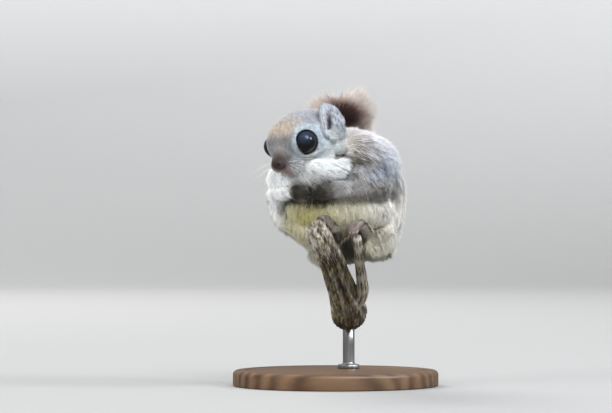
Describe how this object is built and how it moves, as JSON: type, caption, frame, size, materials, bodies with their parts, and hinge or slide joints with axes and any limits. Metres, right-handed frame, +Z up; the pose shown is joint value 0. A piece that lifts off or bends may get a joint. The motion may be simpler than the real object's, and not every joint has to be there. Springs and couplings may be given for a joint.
{
  "type": "flying squirrel model",
  "caption": "Life-size small flying squirrel crouched on a forked branch stub, head turned aside, bushy tail up its back, on a round display stand.",
  "frame": {"origin": "middle of the underside of the stand's round base", "axes": "+Z up; -Y is the side its chest and feet face; +X is the animal's left"},
  "size_m": [0.104, 0.104, 0.1517],
  "materials": {
    "grey_brown_coat": "short dense grey-brown fur",
    "cream_coat": "soft cream fur",
    "buff_tail": "long loose buff fur",
    "bare_skin": "thin pinkish skin under sparse hair, dark claws",
    "dark_eye": "wet gloss",
    "bark": "weathered, splintered at its broken top",
    "stand_wood": "turned, satin varnish",
    "stand_metal": "satin"
  },
  "bodies": {
    "root": {"stand_base": "stand_wood", "stand_rod": "stand_metal", "perch": "bark", "eye_left": "dark_eye", "eye_right": "dark_eye", "head": "grey_brown_coat", "ear_left": "grey_brown_coat", "ear_right": "grey_brown_coat", "neck": "cream_coat", "torso": "grey_brown_coat", "belly": "cream_coat", "upper_arm_left": "grey_brown_coat", "upper_arm_right": "grey_brown_coat", "forearm_left": "grey_brown_coat", "forearm_right": "grey_brown_coat", "hand_left": "bare_skin", "hand_right": "bare_skin", "patagium_left": "cream_coat", "patagium_right": "cream_coat", "thigh_left": "grey_brown_coat", "thigh_right": "grey_brown_coat", "foot_left": "bare_skin", "foot_right": "bare_skin", "tail_root": "buff_tail", "tail_brush": "buff_tail"}
  },
  "joints": []
}
